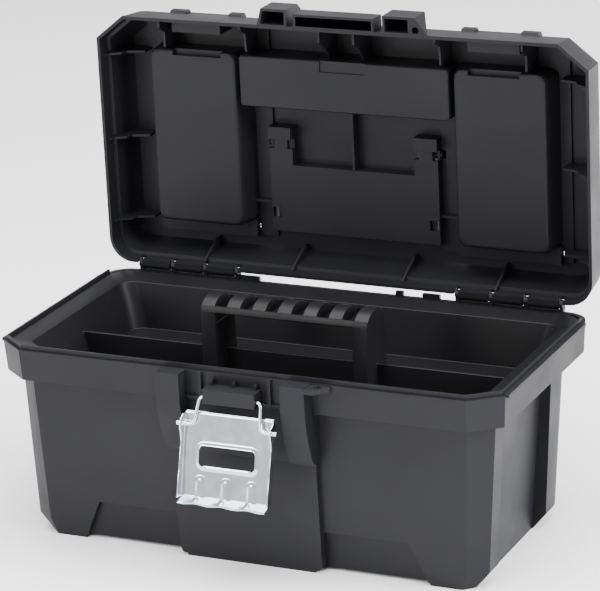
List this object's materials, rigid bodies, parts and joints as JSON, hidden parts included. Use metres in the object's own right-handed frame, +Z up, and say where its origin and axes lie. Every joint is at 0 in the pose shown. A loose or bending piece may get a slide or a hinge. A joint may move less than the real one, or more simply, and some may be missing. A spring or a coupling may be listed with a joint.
{
  "type": "toolbox with tray",
  "caption": "Moulded plastic toolbox with a hinged organiser lid, a lift-out tray with a bridge handle and a hanging steel latch.",
  "frame": {"origin": "on the floor, below the middle of the object as it stands open", "axes": "+X to the right along the front, +Y to the back, +Z up; the latch side faces -Y"},
  "size_m": [0.4146, 0.2766, 0.3795],
  "materials": {
    "body_plastic": "moulded charcoal polypropylene, satin",
    "lid_plastic": "moulded charcoal polypropylene, satin",
    "tray_plastic": "moulded black polypropylene, satin",
    "latch_steel": "bright zinc plate"
  },
  "bodies": {
    "tub_body": {"tub": "body_plastic"},
    "lid_body": {"lid": "lid_plastic"},
    "tray_body": {"tray": "tray_plastic"},
    "handle_body": {"carry_handle": "body_plastic"},
    "cover_left_body": {"organiser_cover_left": "body_plastic"},
    "cover_right_body": {"organiser_cover_right": "body_plastic"},
    "bail_body": {"latch_bail": "latch_steel"},
    "latch_body": {"latch_plate": "latch_steel"}
  },
  "joints": [
    {"name": "lid_hinge", "type": "hinge", "parent": "tub_body", "child": "lid_body", "pos_m": [0, 0.102, 0.1605], "axis": [-1, 0, 0], "range_deg": [-90, 0]},
    {"name": "tray_lift", "type": "slide", "parent": "tub_body", "child": "tray_body", "axis": [0, 0, 1], "range_m": [0, 0.12]},
    {"name": "bail_swing", "type": "hinge", "parent": "tub_body", "child": "bail_body", "pos_m": [0, -0.112, 0.1388], "axis": [1, 0, 0], "range_deg": [-110, 22]},
    {"name": "latch_flip", "type": "hinge", "parent": "bail_body", "child": "latch_body", "pos_m": [0, -0.1202, 0.1195], "axis": [-1, 0, 0], "range_deg": [0, 188]},
    {"name": "handle_swing", "type": "hinge", "parent": "lid_body", "child": "handle_body", "pos_m": [0, 0.1325, 0.2625], "axis": [1, 0, 0], "range_deg": [0, 90]},
    {"name": "cover_left_hinge", "type": "hinge", "parent": "lid_body", "child": "cover_left_body", "pos_m": [0, 0.1337, 0.1903], "axis": [-1, 0, 0], "range_deg": [0, 90]},
    {"name": "cover_right_hinge", "type": "hinge", "parent": "lid_body", "child": "cover_right_body", "pos_m": [0, 0.1337, 0.1903], "axis": [-1, 0, 0], "range_deg": [0, 90]}
  ]
}
